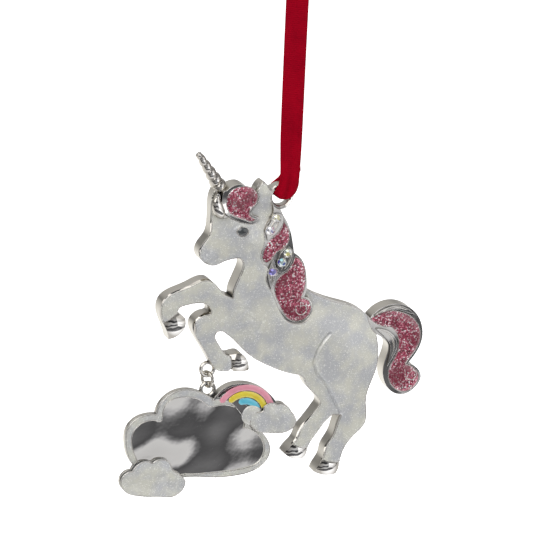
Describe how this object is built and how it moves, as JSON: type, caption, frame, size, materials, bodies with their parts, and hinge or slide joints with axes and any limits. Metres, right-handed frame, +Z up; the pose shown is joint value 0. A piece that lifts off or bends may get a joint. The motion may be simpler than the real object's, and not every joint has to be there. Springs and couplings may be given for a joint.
{
  "type": "hanging unicorn ornament",
  "caption": "Flat relief casting of a rearing unicorn with enamel and glitter inlays, hung by a ribbon from its eye, with a cloud charm on a ring.",
  "frame": {"origin": "inside top of the ribbon's loop, where a hook holds it", "axes": "+Z up along the hanging ribbon, -Y towards the figure's relief face, +X to the figure's tail"},
  "size_m": [0.0815, 0.0075, 0.155],
  "materials": {
    "bright_plate": "bright plated zinc casting",
    "pearl_enamel": "pearlescent enamel with fine sparkle",
    "pink_glitter": "glitter epoxy",
    "dark_enamel": "gloss enamel",
    "crystal": "foiled faceted crystal",
    "rose_enamel": "gloss enamel",
    "yellow_enamel": "gloss enamel",
    "blue_enamel": "gloss enamel",
    "red_satin": "satin ribbon"
  },
  "bodies": {
    "ribbon": {"hanging_ribbon": "red_satin", "ribbon_knot": "red_satin"},
    "figure": {"unicorn_casting": "bright_plate", "pearl_enamel": "pearl_enamel", "forelock_inlay": "pink_glitter", "upper_mane_inlay": "pink_glitter", "lower_mane_inlay": "pink_glitter", "tail_inlay": "pink_glitter", "eye_inlay": "dark_enamel", "mane_crystal_1": "crystal", "mane_crystal_2": "crystal", "mane_crystal_3": "crystal", "mane_crystal_4": "crystal", "mane_crystal_5": "crystal"},
    "ring": {"jump_ring": "bright_plate"},
    "charm": {"charm_casting": "bright_plate", "cloud_border_enamel": "pearl_enamel", "left_cloud_enamel": "pearl_enamel", "right_cloud_enamel": "pearl_enamel", "rainbow_pink_enamel": "rose_enamel", "rainbow_yellow_enamel": "yellow_enamel", "rainbow_blue_enamel": "blue_enamel"}
  },
  "joints": [
    {"name": "figure_swing", "type": "hinge", "parent": "ribbon", "child": "figure", "pos_m": [-0.00545, 0, -0.064], "axis": [0, 1, 0], "range_deg": [-20, 20]},
    {"name": "ring_swing", "type": "hinge", "parent": "figure", "child": "ring", "pos_m": [-0.02477, 0, -0.10956], "axis": [1, 0, 0], "range_deg": [-20, 20]},
    {"name": "charm_swing", "type": "hinge", "parent": "ring", "child": "charm", "pos_m": [-0.02477, 0, -0.11317], "axis": [0, 1, 0], "range_deg": [-10, 10]}
  ]
}
